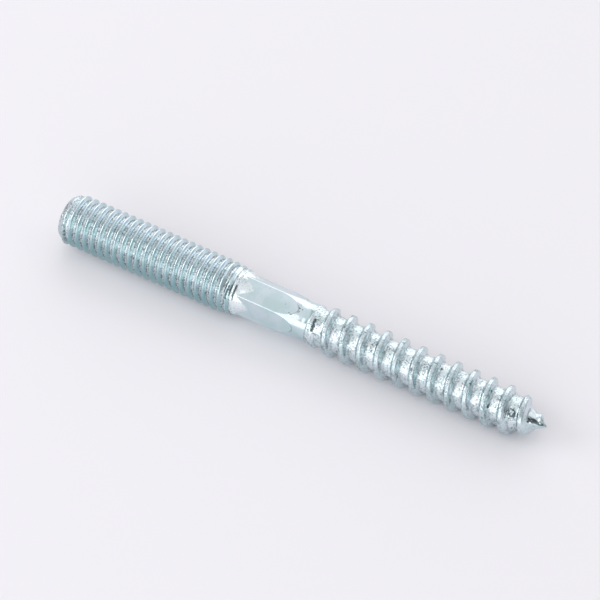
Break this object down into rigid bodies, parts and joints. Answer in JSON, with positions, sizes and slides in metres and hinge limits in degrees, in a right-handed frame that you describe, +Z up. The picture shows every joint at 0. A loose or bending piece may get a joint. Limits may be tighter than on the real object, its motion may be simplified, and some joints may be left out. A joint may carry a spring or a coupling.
{
  "type": "hanger bolt",
  "caption": "Double-ended steel stud lying flat: a machine thread at one end, a hexagonal grip and a short shank in the middle, and a pointed wood thread at the other end.",
  "frame": {"origin": "centre of the bounding box's base, on the surface that the bolt lies on", "axes": "+X along the bolt from the machine thread's end face towards the wood thread's point, +Z up"},
  "size_m": [0.0787, 0.0078, 0.008],
  "materials": {
    "zinc_plate": "bright zinc plate with a pale blue tint, smooth on the machine thread and the grip, rough and pitted on the wood thread"
  },
  "bodies": {
    "root": {"hanger_bolt": "zinc_plate"}
  },
  "joints": []
}
